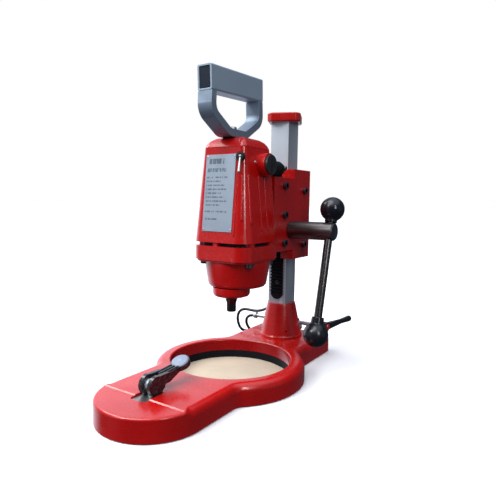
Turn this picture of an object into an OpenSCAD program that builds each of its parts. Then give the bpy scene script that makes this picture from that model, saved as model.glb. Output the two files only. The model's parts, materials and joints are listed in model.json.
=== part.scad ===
// Stone core-drilling machine on a rack-and-pinion stand with a ring base.
// Origin: centre of the work opening, on the resting plane. Front is -Y, up is +Z.

/* [Base] */
// Height of the base casting
base_h = 35; // [30:1:45]
// Width of the straight front and rear parts of the base
base_w = 162; // [150:2:180]
// Outer radius of the ring around the work opening
ring_r = 125.5; // [118:0.5:135]
// Radius of the work opening
hole_r = 101.5; // [90:0.5:105]
// Distance from the opening's centre to the flat rear end
rear_y = 232; // [226:1:245]
// Distance from the opening's centre to the round front end
front_y = 264; // [255:1:280]

/* [Column] */
// Side of the square column
col_w = 38; // [36:1:40]
// Distance from the spindle axis to the column axis
col_y = 172.5; // [170:0.5:175]
// Height of the top of the column above the floor
col_top = 452; // [444:1:460]
// Wall of the column tube
col_wall = 6; // [5:0.5:7]

/* [Feed] */
// Module of the rack and pinion
feed_m = 2; // [2:2:2]
// Number of pinion teeth
feed_z = 22; // [22:1:22]
// Height of the pinion axis at rest
feed_h = 248; // [245:1:250]
// Lean of the feed lever from upright
lever_tilt = 14.5; // [5:0.5:20]
// Distance from the hub to the lower knob
lever_long = 180; // [150:1:185]
// Distance from the hub to the upper knob
lever_short = 40; // [38:1:60]
// Diameter of the ball knobs
knob_d = 43; // [32:1:46]

/* [Carriage] */
// Width of the carriage block
block_w = 81; // [78:1:84]
// Lowest point of the carriage block at rest
block_z = 192; // [188:1:196]
// Height of the carriage block
block_h = 167; // [160:1:170]

/* [Motor] */
// Half width of the housing at its widest, at the vent slots
motor_half = 56; // [52:1:58]
// Half width of the flat facets of the housing
motor_flat = 31; // [27:1:33]
// Height of the bottom of the upper housing at rest
motor_z = 232.5; // [228:0.5:238]
// Height of the seam below the top cover at rest
cover_z = 384; // [380:1:392]
// Height of the flat top of the cover at rest
motor_top = 401; // [398:1:410]
// Distance from the spindle axis to the middle of the housing
motor_y = 14; // [12:1:16]
// Distance from the spindle axis to the armature axis
arm_y = 22; // [20:0.5:23]
// Diameter of the spindle nose
spindle_d = 16; // [14:1:18]

/* [Handle] */
// Length of the grip bar
grip_l = 143; // [130:1:150]
// Width of the handle across the machine
grip_w = 27; // [24:1:32]
// Top of the grip bar above the floor at rest
grip_top = 501; // [496:1:510]

/* [Hidden] */
$fn = 64;
eps = 0.01;

// Colours
red = "firebrick";
dark = "#202226";
steel = "silver";

// Base
strip = base_w / 2;
seal_h = 14;
seal_w = 7.5;
fillet_r = 20;
corner_r = 10;
step_y = -207.7;
slot_y = -196;
slot_half = 14;
slot_floor = 29;
top_z = base_h;

// Cam clamp at the front of the base
cam_y = -188;
cam_z = 46.2;
cam_r = 14;
cam_head_y = 61;
cam_head_z = 12;
cam_tilt = 24;

// Column socket and its clamp rod
socket_r0 = 41.5;
socket_r1 = 28;
socket_h = 66;
rod_y = 202;
rod_z = 56;
rod_r = 4;
rod_left = -78;
lock_x = 72;
lock_l = 83;

// Rack and pinion
pitch = PI * feed_m;
pitch_r = feed_m * feed_z / 2;
face_y = col_y - col_w / 2;
rack_tip = face_y - 5;
pin_y = rack_tip + feed_m - pitch_r;
rack_w = 26;
rack_teeth = 37;
rack_z0 = feed_h - 20 * pitch;
shaft_r = 10;
hub_r = 16;
hub_x0 = block_w / 2 + 0.5;
hub_x1 = 128;
lever_x = 118;
lever_r = 7;

// Carriage
half = block_w / 2;
block_y0 = 139.5;
block_y1 = 205;
cheek_y0 = 78;
cheek_z0 = 210;
cheek_z1 = 342;
gap_x = 14.6;
side_y = 103.5;

// Motor and gears
taper = 0.1;
r_low = motor_half - motor_flat;
r_cover = r_low - taper * (cover_z - motor_z);
waist_z = 200.5;
vent_z = 226.5;
gear_z = 156;
gear_y = 17;
nose_z = 140.5;
screw_x = 46;
screw_y = 30;
brush_z = 358;
gland_z = 355.6;
brush_x = 62;
m1 = 1;
z_pinion = 9;
z_idler = 39;
z_small = 16;
z_spindle = 36;
d1 = m1 * (z_pinion + z_idler) / 2;
d2 = m1 * (z_small + z_spindle) / 2;
idler_y = (d2 * d2 - d1 * d1 + arm_y * arm_y) / (2 * arm_y);
idler_x = -sqrt(d2 * d2 - idler_y * idler_y);

// Handle
handle_y = -2;
grip_h = 38;
grip_tilt = 2.5;
grip_z = grip_top - grip_h;
strap_t = 12;

// Switch
switch_z = 368;
bat_tilt = 72;
bat_l = 25;

// Cord: diameter, coil, and the routes' points
cord_d = 6;
coil_c = [-60, 280];
coil_in = 24;
coil_out = 42;
coil_h = 18;
lead_route = [
    [36, 101, 355.6], [36, 110, 356.6], [33, 120, 360], [22, 126, 362.3], [4, 128, 362.6], [-16, 131, 362.6],
    [-28, 140, 362.6], [-30, 155, 362.6], [-30, 180, 362.6], [-30, 207, 362.6]];
cord_route = [
    [-30, 208, 362.6], [-30, 216, 361.5], [-30, 226, 356], [-30, 233, 346], [-30, 236, 330], [-30, 236, 300],
    [-30, 236, 250], [-30, 236, 200], [-31, 236, 150], [-33, 234, 120], [-40, 228, 96], [-51, 219, 78],
    [-65, 210, 68], [-80, 205, 64], [-96, 204, 64.5], [-112, 205, 65.5], [-125, 207, 61], [-133, 210, 50],
    [-135, 214, 36], [-135, 219, 22], [-135, 226, 11], [-133, 236, 5], [-129, 248, 3.2], [-120, 260, 3.2],
    [-109, 270, 3.2], [-105.6, 280, 3.2]];
plug_route = [
    [-75, 234.4, 3.2], [-88, 233, 3.2], [-102, 232, 3.4], [-113, 229, 6], [-121, 226, 13], [-122, 224, 24],
    [-116, 223, 34], [-105, 223, 41], [-91, 223, 45], [-77, 224, 47.5], [-62, 224, 48.5]];
plug_x0 = -60;
plug_y = 224;
plug_z = 48.5;

// ---------- shared shapes ----------

// Box from corner to corner
module block(a, b) {
    translate(a) cube(b - a);
}

// Cylinder along X between two X values
module xcyl(r, x0, x1, y, z, r2 = -1) {
    translate([x0, y, z]) rotate([0, 90, 0]) cylinder(h = x1 - x0, r1 = r, r2 = r2 < 0 ? r : r2);
}

// Rounded rectangle with true arcs
module rounded_rect(hx, hy, r) {
    square([2 * hx, 2 * (hy - r)], center = true);
    square([2 * (hx - r), 2 * hy], center = true);
    for (sx = [-1, 1], sy = [-1, 1]) translate([sx * (hx - r), sy * (hy - r)]) circle(r);
}

// Outline of one straight-sided spur gear, teeth as trapezoids on a true root disc
module gear_outline(m, z, tip = 0.9, root = 1.25, w = 0.40) {
    r = m * z / 2;
    a = 360 / z;
    circle(r - root * m);
    for (i = [0 : z - 1]) rotate(i * a) polygon([
        [r - root * m - 0.4, -r * sin(a * w * 0.75)], [r, -r * sin(a * w / 2)],
        [r + tip * m, -r * sin(a * w * 0.26)], [r + tip * m, r * sin(a * w * 0.26)],
        [r, r * sin(a * w / 2)], [r - root * m - 0.4, r * sin(a * w * 0.75)]]);
}

// Tube swept along hand-set points: rings lie across the local direction
function unit(v) = v / norm(v);
function along(p, i) = unit(p[min(i + 1, len(p) - 1)] - p[max(i - 1, 0)]);
function side_of(t) = unit(cross(t, abs(t.z) > 0.9 ? [0, 1, 0] : [0, 0, 1]));
function turned(s, t) = unit(s - (s * t) * t);
function frames(p, i = 0, s = undef) = i == len(p) ? [] :
    let (t = along(p, i), n = is_undef(s) ? side_of(t) : turned(s, t)) concat([[n, cross(t, n)]], frames(p, i + 1, n));
function spline(a, b, c, d, u) = 0.5 * (2 * b + (c - a) * u + (2 * a - 5 * b + 4 * c - d) * u * u
    + (3 * b - a - 3 * c + d) * u * u * u);
function smooth_route(p, n) = concat([for (i = [0 : len(p) - 2], j = [0 : n - 1])
    spline(p[max(i - 1, 0)], p[i], p[i + 1], p[min(i + 2, len(p) - 1)], j / n)], [p[len(p) - 1]]);
module tube(route, d, sides = 8, fine = 2) {
    p = smooth_route(route, fine);
    f = frames(p);
    n = len(p);
    rings = [for (i = [0 : n - 1], k = [0 : sides - 1])
        p[i] + d / 2 * (cos(360 * k / sides) * f[i][0] + sin(360 * k / sides) * f[i][1])];
    walls = [for (i = [0 : n - 2], k = [0 : sides - 1])
        [i * sides + k, i * sides + (k + 1) % sides, (i + 1) * sides + (k + 1) % sides, (i + 1) * sides + k]];
    ends = [[for (k = [sides - 1 : -1 : 0]) k], [for (k = [0 : sides - 1]) (n - 1) * sides + k]];
    polyhedron(rings, concat(walls, ends), convexity = 10);
}

// Hexagon socket screw, head up along +Z, thread down
module socket_screw(d, l, head_h = 0) {
    hh = head_h > 0 ? head_h : d;
    difference() {
        union() {
            cylinder(h = hh, r = 0.8 * d);
            translate([0, 0, -l]) cylinder(h = l + 0.1, r = d / 2);
        }
        translate([0, 0, hh - 0.55 * d]) cylinder(h = d, r = 0.45 * d, $fn = 6);
    }
}

// ---------- base ----------

module ring_fillets(inset) {
    r = fillet_r + inset;
    w = strip - inset;
    cx = strip + fillet_r;
    cy = sqrt(pow(ring_r + fillet_r, 2) - cx * cx);
    k = (ring_r - inset) / (ring_r + fillet_r);
    for (sx = [-1, 1], sy = [-1, 1]) scale([sx, sy]) difference() {
        polygon([[w - 5, cy], [w, cy], [cx, cy], [k * cx, k * cy], [w - 5, k * cy]]);
        translate([cx, cy]) circle(r);
    }
}

module base_outline(inset = 0) {
    w = strip - inset;
    cr = corner_r - inset;
    circle(ring_r - inset, $fn = 128);
    translate([0, strip - front_y]) circle(w);
    translate([-w, strip - front_y]) square([2 * w, rear_y + front_y - strip - inset - cr]);
    translate([-w + cr, rear_y - inset - cr - eps]) square([2 * (w - cr), cr + eps]);
    for (sx = [-1, 1]) translate([sx * (w - cr), rear_y - inset - cr]) circle(cr);
    ring_fillets(inset);
}

module slot_outline(grow = 0) {
    rounded_rect(slot_half + grow, 20 + grow, 6 + grow);
}

module base_casting() color(red) difference() {
    union() {
        linear_extrude(base_h - 4) base_outline();
        linear_extrude(base_h - 1.4) base_outline(1.2);
        linear_extrude(base_h) base_outline(4);
    }
    translate([0, 0, -1]) cylinder(h = base_h + 2, r = hole_r, $fn = 128);
    translate([0, 0, -1]) cylinder(h = seal_h + 1, r = hole_r + seal_w, $fn = 128);
    // lower land in front of the step, and the recess with its through slot
    block([-strip - 1, -front_y - 1, base_h - 1.2], [strip + 1, step_y, base_h + 1]);
    translate([0, slot_y, slot_floor]) linear_extrude(base_h) slot_outline();
    translate([0, slot_y, -1]) linear_extrude(base_h) rounded_rect(5.6, 14, 5.5);
    translate([0, slot_y, -1]) linear_extrude(15) rounded_rect(12, 18, 6);
    // socket bolt holes and underside pockets
    for (a = [0 : 90 : 270]) translate([0, col_y, -1]) rotate(a + 45) translate([34, 0, 0]) {
        cylinder(h = base_h + 2, r = 4.3);
        cylinder(h = 11, r = 7.5);
    }
    for (x = [-38, 38], y = [-214, -150]) translate([x, y, -1]) linear_extrude(22) rounded_rect(19, 14, 6);
    for (x = [-60, 60]) translate([x, 200, -1]) linear_extrude(22) rounded_rect(13, 22, 6);
}

module base_seal_ring() color(dark) difference() {
    cylinder(h = seal_h - 0.2, r = hole_r + seal_w - 0.2, $fn = 128);
    translate([0, 0, -1]) cylinder(h = seal_h + 2, r = hole_r, $fn = 128);
}

// ---------- cam clamp ----------

module slot_plate() color(steel) difference() {
    translate([0, slot_y, slot_floor + 0.05]) linear_extrude(2.9) slot_outline(-1);
    translate([0, cam_y, slot_floor - 1]) cylinder(h = 6, r = 5.3);
}

module clamp_stud() color(steel) difference() {
    union() {
        translate([0, cam_y, 4]) cylinder(h = cam_z - 9, r = 5);
        xcyl(8, -5, 5, cam_y, cam_z);
    }
    xcyl(3.05, -6, 6, cam_y, cam_z);
}

module stud_nut() color(steel) difference() {
    translate([0, cam_y, 6]) cylinder(h = 7.9, r = 9.2, $fn = 6);
    translate([0, cam_y, 5]) cylinder(h = 10, r = 5);
}

module cam_pivot_pin() color(steel) {
    xcyl(3, -11.8, 11.8, cam_y, cam_z);
}

// Side view of one fork ear with the root of the arm, in (Y, Z) about the pivot
module cam_side() {
    circle(cam_r);
    polygon([[-12, 2], [-10, 8.5], [5, 13.1], [30, 12.8], [30, 3], [16, -2], [15.5, -6], [7, -12], [-8.1, -9.8]]);
}

module at_cam_head() {
    translate([0, cam_head_y, cam_head_z]) rotate([cam_tilt, 0, 0]) children();
}

module cam_lever() color(dark) translate([0, cam_y, cam_z]) difference() {
    union() {
        for (s = [-1, 1]) translate([s * 8.15, 0, 0]) rotate([90, 0, 90])
            linear_extrude(5.7, center = true) intersection() {
                cam_side();
                circle(cam_r + 14);
            }
        hull() {
            translate([0, 21, 5]) cube([22, 9, 13], center = true);
            translate([0, 50, 10]) cube([15, 4, 7], center = true);
        }
        at_cam_head() translate([0, 0, -1.5]) cylinder(h = 7, r = 14.3);
        // stiffening ribs on the arm
        for (x = [-6, 0, 6]) hull() {
            translate([x, 20, 11.5]) cube([2, 4, 2.4], center = true);
            translate([x, 46, 13.5]) cube([2, 4, 2.4], center = true);
        }
    }
    xcyl(3.05, -20, 20, 0, 0);
    block([-5.3, -20, -20], [5.3, 16, 20]);
    at_cam_head() translate([0, 0, 4.3]) cylinder(h = 4, r = 13.1);
}

module cam_lever_cap() color(steel) translate([0, cam_y, cam_z]) at_cam_head() translate([0, 0, 4.35])
    rotate_extrude() polygon([[0, 0], [12.9, 0], [12.9, 2.2], [11.5, 3.3], [0, 3.9]]);

// ---------- column and socket ----------

module socket_profile() {
    polygon([[0, 0], [socket_r0, 0], [socket_r0, 3], [socket_r0 - 2, 6], [36.4, 22], [32.6, 40],
        [socket_r1 + 1.2, 56], [socket_r1, 62], [socket_r1 - 1, socket_h], [0, socket_h]]);
}

module column_socket() color(red) translate([0, 0, top_z]) difference() {
    union() {
        translate([0, col_y, 0]) rotate_extrude($fn = 96) socket_profile();
        xcyl(9, -22, 22, rod_y, rod_z - top_z);
        block([-22, rod_y - 12, rod_z - top_z - 9], [22, rod_y, rod_z - top_z + 9]);
    }
    translate([0, col_y, socket_h / 2 + 3]) cube([col_w + 0.2, col_w + 0.2, socket_h], center = true);
    xcyl(rod_r + 0.05, -30, 30, rod_y, rod_z - top_z);
    block([-1, col_y + col_w / 2 - 1, 6], [1, rod_y + 20, socket_h + 1]);
    for (a = [0 : 90 : 270]) translate([0, col_y, -1]) rotate(a + 45) translate([34, 0, 0])
        cylinder(h = 17, r = 4);
}

module socket_bolts() color("dimgray") for (a = [0 : 90 : 270])
    translate([0, col_y, 10]) rotate(a + 45) translate([34, 0, 0]) mirror([0, 0, 1]) socket_screw(8, 38, 7);

module column_tube() color(steel) difference() {
    translate([0, col_y, (col_top + 39) / 2]) cube([col_w, col_w, col_top - 39], center = true);
    translate([0, col_y, (col_top + 39) / 2])
        cube([col_w - 2 * col_wall, col_w - 2 * col_wall, col_top], center = true);
    // seat of the rack, with a round lower end
    block([-rack_w / 2 - 0.1, face_y - 1, rack_z0], [rack_w / 2 + 0.1, face_y + 4, rack_z0 + rack_teeth * pitch]);
    translate([0, face_y + 4, rack_z0]) rotate([90, 0, 0]) cylinder(h = 5, r = rack_w / 2 + 0.1);
    for (i = [0 : 2]) translate([0, face_y - 1, rack_z0 + 20 + 98 * i]) rotate([-90, 0, 0])
        cylinder(h = col_wall + 2, r = 2.5);
}

module rack_side() {
    y0 = face_y + 4;
    yr = rack_tip + 2.25 * feed_m;
    top = rack_z0 + rack_teeth * pitch;
    polygon([[yr, rack_z0], [y0, rack_z0], [y0, top], [yr, top]]);
    for (i = [0 : rack_teeth - 1]) translate([0, rack_z0 + (i + 0.5) * pitch]) polygon([
        [yr + 0.2, -0.36 * pitch], [yr, -0.34 * pitch], [rack_tip + 0.2, -0.12 * pitch],
        [rack_tip + 0.2, 0.12 * pitch], [yr, 0.34 * pitch], [yr + 0.2, 0.36 * pitch]]);
}

module rack() color(dark) difference() {
    union() {
        rotate([90, 0, 90]) linear_extrude(rack_w, center = true) rack_side();
        difference() {
            translate([0, face_y + 4, rack_z0]) rotate([90, 0, 0]) cylinder(h = 6, r = rack_w / 2);
            block([-20, face_y - 10, rack_z0], [20, face_y + 10, rack_z0 + 20]);
        }
    }
    for (i = [0 : 2]) translate([0, rack_tip - 1, rack_z0 + 20 + 98 * i]) rotate([-90, 0, 0]) {
        cylinder(h = 12, r = 2.6);
        cylinder(h = 8.7, r = 4.6);
    }
}

module rack_screws() color("dimgray") for (i = [0 : 2])
    translate([0, face_y + 2.6, rack_z0 + 20 + 98 * i]) rotate([90, 0, 0]) socket_screw(5, 9, 2.8);

module column_cap() color(red) translate([0, col_y, col_top - 3.5]) difference() {
    union() {
        rotate(24) {
            linear_extrude(1.6) cap_outline(29.6);
            translate([0, 0, 1.5]) linear_extrude(13.6) cap_outline(31);
            translate([0, 0, 15]) linear_extrude(1.5) cap_outline(29.4);
        }
        translate([0, 0, -8]) cube([25.7, 25.7, 17], center = true);
    }
    difference() {
        cube([col_w + 0.2, col_w + 0.2, 7.1], center = true);
        cube([25.7, 25.7, 8], center = true);
    }
}

module cap_outline(w) {
    c = 8;
    polygon([[w, c - w], [w, w - c], [w - c, w], [c - w, w], [-w, w - c], [-w, c - w], [c - w, -w], [w - c, -w]]);
}

module clamp_rod() color(steel) {
    xcyl(rod_r, rod_left, lock_x + 12, rod_y, rod_z);
    xcyl(6.5, rod_left - 4, rod_left + 2, rod_y, rod_z);
}

module lock_lever() color(dark) difference() {
    union() {
        xcyl(7.5, lock_x, lock_x + 5, rod_y, rod_z, 9.5);
        xcyl(9.5, lock_x + 5, lock_x + 16, rod_y, rod_z);
        hull() {
            translate([lock_x + 11, rod_y + 4, rod_z]) rotate([0, 90, 0]) cylinder(h = 9, r = 6.5, center = true, $fn = 32);
            translate([lock_x + 20, rod_y + 55, rod_z + 1]) sphere(5, $fn = 32);
        }
        hull() {
            translate([lock_x + 20, rod_y + 55, rod_z + 1]) sphere(5, $fn = 32);
            translate([lock_x + 26, rod_y + lock_l, rod_z + 2]) sphere(6.2, $fn = 32);
        }
    }
    xcyl(rod_r + 0.05, lock_x - 1, lock_x + 12.2, rod_y, rod_z);
    xcyl(6.1, lock_x + 14.5, lock_x + 20, rod_y, rod_z);
}

module lock_lever_cap() color("red") xcyl(6, lock_x + 14.5, lock_x + 18.5, rod_y, rod_z, 5.2);

// ---------- carriage ----------

module carriage_casting() color(red) difference() {
    union() {
        block([-half, block_y0, block_z], [half, block_y1, block_z + block_h]);
        block([-half, cheek_y0, cheek_z0], [half, block_y0 + 1, cheek_z1]);
    }
    // column passage, rack gap, and the space between the cheeks
    block([-22.4, face_y - 0.25, block_z - 1], [22.4, col_y + col_w / 2 + 0.25, block_z + block_h + 1]);
    block([-gap_x, cheek_y0 - 1, block_z - 1], [gap_x, col_y, block_z + block_h + 1]);
    xcyl(14, -half - 1, half + 1, pin_y, feed_h);
    for (s = [-1, 1]) {
        for (z = gib_heights()) xcyl(4.05, s > 0 ? 22 : -half - 1, s > 0 ? half + 1 : -22, 179.5, z);
        for (z = side_heights()) xcyl(4.05, s > 0 ? gap_x - 1 : -half - 1, s > 0 ? half + 1 : 1 - gap_x, side_y, z);
    }
}

function gib_heights() = [218, 320];
function side_heights() = [225, 275.5, 327];

module gib_strips() color("darkgoldenrod") for (s = [-1, 1])
    translate([s * (col_w / 2 + 1.7), col_y, block_z + block_h / 2]) cube([3, 28, block_h - 10], center = true);

module side_screw_pair(y, heights, d, l, head_h) {
    for (s = [-1, 1], z = heights) translate([s * half, y, z]) rotate([0, s * 90, 0]) socket_screw(d, l, head_h);
}

module gib_screws() color("dimgray") side_screw_pair(179.5, gib_heights(), 8, half - 22.3, 6);

module side_screws() color("dimgray") side_screw_pair(side_y, side_heights(), 8, half - 15, 6);

module motor_bracket() color(red) difference() {
    union() {
        block([-half, 68, cheek_z0], [half, cheek_y0 - 0.05, cheek_z1]);
        block([-14.4, cheek_y0 - 1, cheek_z0 + 2], [14.4, 112, cheek_z1 - 2]);
    }
    xcyl(pitch_r + 4, -20, 20, pin_y, feed_h);
    // clears the round rear corners of the housing
    translate([0, motor_y, 0]) housing_shape(0.2);
    translate([0, motor_y, cheek_z0 - 1]) linear_extrude(motor_z - cheek_z0 + 1)
        rounded_rect(motor_half + 0.2, motor_half + 0.2, r_low + 0.2);
}

module pinion_bushes() color("peru") for (s = [-1, 1]) difference() {
    xcyl(13.98, s > 0 ? gap_x : -half, s > 0 ? half : -gap_x, pin_y, feed_h);
    xcyl(shaft_r + 0.04, -half - 1, half + 1, pin_y, feed_h);
}

// ---------- feed ----------

module pinion() color("dimgray") union() {
    xcyl(shaft_r, -half - 1, 70, pin_y, feed_h);
    xcyl(14, -half - 7, -half - 0.6, pin_y, feed_h);
    translate([0, pin_y, feed_h]) rotate([90, 0, 90]) linear_extrude(rack_w, center = true)
        gear_outline(feed_m, feed_z, 0.8, 1.2, 0.42);
}

module feed_hub() color("dimgray") difference() {
    union() {
        xcyl(hub_r, hub_x0, hub_x1 - 2, pin_y, feed_h);
        xcyl(hub_r, hub_x1 - 2, hub_x1, pin_y, feed_h, hub_r - 2);
    }
    xcyl(shaft_r, hub_x0 - 1, 70, pin_y, feed_h);
    at_lever() cylinder(h = 60, r = lever_r, center = true);
}

module at_lever() {
    translate([lever_x, pin_y, feed_h]) rotate([-lever_tilt, 0, 0]) children();
}

module lever_rod() color("dimgray") at_lever() {
    translate([0, 0, -lever_long + 12]) cylinder(h = lever_long + lever_short - 26, r = lever_r);
    translate([0, 0, -lever_long]) cylinder(h = lever_long + lever_short, r = 5);
}

// Ball knob with a tapered neck towards the hub
module knob(neck) {
    difference() {
        union() {
            sphere(knob_d / 2);
            cylinder(h = neck, r1 = 12.5, r2 = 10.5);
        }
        translate([0, 0, -eps]) cylinder(h = neck + 5, r = 5);
        translate([0, 0, 12]) cylinder(h = neck, r = lever_r);
    }
}

module upper_knob() color(dark) at_lever() translate([0, 0, lever_short]) mirror([0, 0, 1]) difference() {
    knob(24);
    translate([0, 0, 14]) cylinder(h = 30, r = lever_r);
}

module lower_knob() color(dark) at_lever() translate([0, 0, -lever_long]) knob(30);

// ---------- motor ----------

// Outside of the tapered housing between two heights, about the housing's own axis
module housing_shape(grow = 0, z0 = motor_z, z1 = cover_z) {
    hull() for (sx = [-1, 1], sy = [-1, 1]) translate([sx * motor_flat, sy * motor_flat, z0])
        cylinder(h = z1 - z0, r1 = r_low - taper * (z0 - motor_z) + grow, r2 = r_low - taper * (z1 - motor_z) + grow);
}

module motor_housing() color(red) difference() {
    union() {
        translate([0, motor_y, 0]) housing_shape();
        xcyl(18.5, -brush_x + 4, brush_x - 4, arm_y, brush_z);
    }
    translate([0, arm_y, motor_z - 1]) cylinder(h = 96, r = 31.05);
    translate([0, arm_y, motor_z - 1]) cylinder(h = 10, r = 37);
    translate([0, arm_y, motor_z]) cylinder(h = cover_z - motor_z - 16, r = 24);
    translate([0, arm_y, cover_z - 17]) cylinder(h = 9.6, r = 11);
    translate([0, arm_y, cover_z - 20]) cylinder(h = 30, r = 6);
    xcyl(6.05, -brush_x, brush_x, arm_y, brush_z);
    xcyl(13, brush_x - 9, brush_x, arm_y, brush_z);
    xcyl(13, -brush_x, 9 - brush_x, arm_y, brush_z);
    translate([36, 50, gland_z]) rotate([-90, 0, 0]) cylinder(h = 20, r = 6);
    at_switch() cylinder(h = 40, r = 5, center = true);
}

module top_cover() color(red) translate([0, motor_y, 0]) difference() {
    hull() for (sx = [-1, 1], sy = [-1, 1]) {
        translate([sx * motor_flat, sy * motor_flat, cover_z + 0.05]) cylinder(h = 1, r = r_cover, $fn = 32);
        translate([sx * 30, sy * 30, cover_z + 5]) cylinder(h = 1, r = 8.5, $fn = 32);
        translate([sx * 27, sy * 27, cover_z + 10.5]) cylinder(h = 1, r = 7, $fn = 32);
        translate([sx * 22, sy * 22, motor_top - 2.5]) cylinder(h = 1, r = 6, $fn = 32);
        translate([sx * 19, sy * 19, motor_top - 1]) cylinder(h = 1, r = 5, $fn = 32);
    }
    block([-24, -24, cover_z - 1], [24, 24, motor_top - 6]);
    translate([0, handle_y - motor_y, cover_z]) cylinder(h = 40, r = 4.1);
}

// Corner pillars over the screws, and one in the middle of the front and of the rear
module vent_pillars() {
    for (sx = [-1, 1], sy = [-1, 1]) translate([sx * screw_x, sy * screw_y, 0])
        cylinder(h = motor_z - vent_z - 0.05, r = 8);
    for (sy = [-1, 1]) translate([-5, sy * (motor_half - 6), 0])
        linear_extrude(motor_z - vent_z) rounded_rect(4.5, 4, 1);
}

module lower_housing() color(red) translate([0, motor_y, 0]) difference() {
    union() {
        translate([0, 0, waist_z + 3]) linear_extrude(vent_z - waist_z - 3)
            rounded_rect(motor_half, motor_half, r_low);
        translate([0, 0, waist_z]) linear_extrude(4) rounded_rect(motor_half - 2, motor_half - 2, r_low);
        translate([0, 0, vent_z - 0.05]) vent_pillars();
        translate([0, arm_y - motor_y, vent_z - 1]) cylinder(h = motor_z - vent_z + 0.9, r = 41);
    }
    translate([0, arm_y - motor_y, waist_z + 5]) cylinder(h = 60, r = 36.5);
    translate([0, arm_y - motor_y, waist_z - 1]) cylinder(h = 20, r = 24);
    for (sx = [-1, 1], sy = [-1, 1]) translate([sx * screw_x, sy * screw_y, waist_z - 1]) cylinder(h = 50, r = 4);
}

module housing_screws() color("dimgray") for (sx = [-1, 1], sy = [-1, 1])
    translate([sx * screw_x, motor_y + sy * screw_y, waist_z - 0.05]) mirror([0, 0, 1]) socket_screw(8, 31, 7);

module gear_housing() color(red) difference() {
    translate([0, gear_y, gear_z]) rotate_extrude($fn = 96)
        polygon([[0, 0], [43, 0], [46.8, 1.3], [49, 4], [50, 8], [52.8, 24], [54.6, 36],
            [55, waist_z - gear_z - 0.05], [48.5, waist_z - gear_z - 0.05], [48.5, 34], [47, 20], [45, 6], [0, 6]]);
    translate([0, 0, gear_z - 1]) cylinder(h = 10, r = 17);
    translate([idler_x, idler_y, gear_z + 2]) cylinder(h = 10, r = 4);
    for (a = [0 : 90 : 270]) rotate(a + 45) translate([25, 0, gear_z - 1]) cylinder(h = 10, r = 2.5);
    for (sx = [-1, 1], sy = [-1, 1]) translate([sx * screw_x, motor_y + sy * screw_y, waist_z - 8])
        cylinder(h = 10, r = 7);
}

module gear_plate() color("gray") difference() {
    translate([0, gear_y, gear_z + 34.6]) cylinder(h = 7, r = 48.3);
    translate([0, arm_y, gear_z + 30]) cylinder(h = 12, r = 11);
    translate([idler_x, idler_y, gear_z + 30]) cylinder(h = 8, r = 4);
    for (sx = [-1, 1], sy = [-1, 1]) translate([sx * screw_x, motor_y + sy * screw_y, gear_z + 30])
        cylinder(h = 20, r = 7.1);
}

module nose_collar() color(red) difference() {
    translate([0, 0, nose_z]) rotate_extrude()
        polygon([[0, 0], [25, 0], [29.2, 1.5], [31.2, 5], [31.5, gear_z - nose_z - 0.05], [0, gear_z - nose_z - 0.05]]);
    translate([0, 0, 130]) cylinder(h = 30, r = 12.3);
    translate([0, 0, nose_z + 6]) cylinder(h = 20, r = 17);
    for (a = [0 : 90 : 270]) rotate(a + 45) translate([25, 0, 130]) cylinder(h = 30, r = 2.5);
}

module ring(r_in, r_out, h) {
    difference() {
        cylinder(h = h, r = r_out);
        translate([0, 0, -1]) cylinder(h = h + 2, r = r_in);
    }
}

module spindle_bearings() color(steel) for (z = [nose_z + 6, nose_z + 13.5]) translate([0, 0, z]) ring(10.04, 17, 7);

module spindle_seal() color(dark) translate([0, 0, nose_z + 0.5]) ring(10.08, 12.3, 5);

module motor_bearings() color(steel) for (z = [gear_z + 34, cover_z - 15]) translate([0, arm_y, z]) ring(5.04, 11, 7.5);

module stator() color("slategray") translate([0, arm_y, motor_z + 10]) difference() {
    cylinder(h = 80, r = 31);
    translate([0, 0, -1]) cylinder(h = 82, r = 23);
}

module armature() color("peru") {
    translate([0, arm_y, gear_z + 33]) cylinder(h = cover_z - 8 - gear_z - 33, r = 5);
    translate([0, arm_y, motor_z + 14]) cylinder(h = 72, r = 22.3);
    translate([0, arm_y, gear_z + 19.5]) linear_extrude(14) gear_outline(m1, z_pinion, 0.7, 1.1, 0.36);
}

module commutator() color("chocolate") translate([0, arm_y, brush_z - 9]) ring(5, 13, 18);

module fan() color(dark) translate([0, arm_y, waist_z + 9]) difference() {
    union() {
        cylinder(h = 20, r = 10);
        cylinder(h = 2.5, r = 33);
        for (a = [0 : 30 : 330]) rotate(a) translate([9, -0.8, 0]) cube([24, 1.6, 14]);
    }
    translate([0, 0, -1]) cylinder(h = 30, r = 5);
}

module brush_caps() color(dark) for (s = [-1, 1]) translate([s * brush_x, arm_y, brush_z]) rotate([0, -90 * s, 0])
    difference() {
        union() {
            cylinder(h = 4, r = 16);
            cylinder(h = 9, r = 12.9);
        }
        translate([-20, -1.2, -1]) cube([40, 2.4, 2.5]);
    }

module carbon_brushes() color("dimgray") for (s = [-1, 1])
    xcyl(5.9, s > 0 ? 13.3 : 9.2 - brush_x, s > 0 ? brush_x - 9.2 : -13.3, arm_y, brush_z);

module idler_pin() color(steel) translate([idler_x, idler_y, gear_z + 2.1]) cylinder(h = 35.8, r = 4);

module idler_gear() color("dimgray") translate([idler_x, idler_y, 0]) difference() {
    union() {
        translate([0, 0, gear_z + 21]) linear_extrude(6)
            rotate(mesh_turn([0, arm_y], z_pinion, z_idler)) gear_outline(m1, z_idler, 0.7, 1.1, 0.36);
        translate([0, 0, gear_z + 8]) linear_extrude(13) gear_outline(m1, z_small, 0.7, 1.1, 0.36);
    }
    translate([0, 0, gear_z]) cylinder(h = 40, r = 4.05);
}

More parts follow.
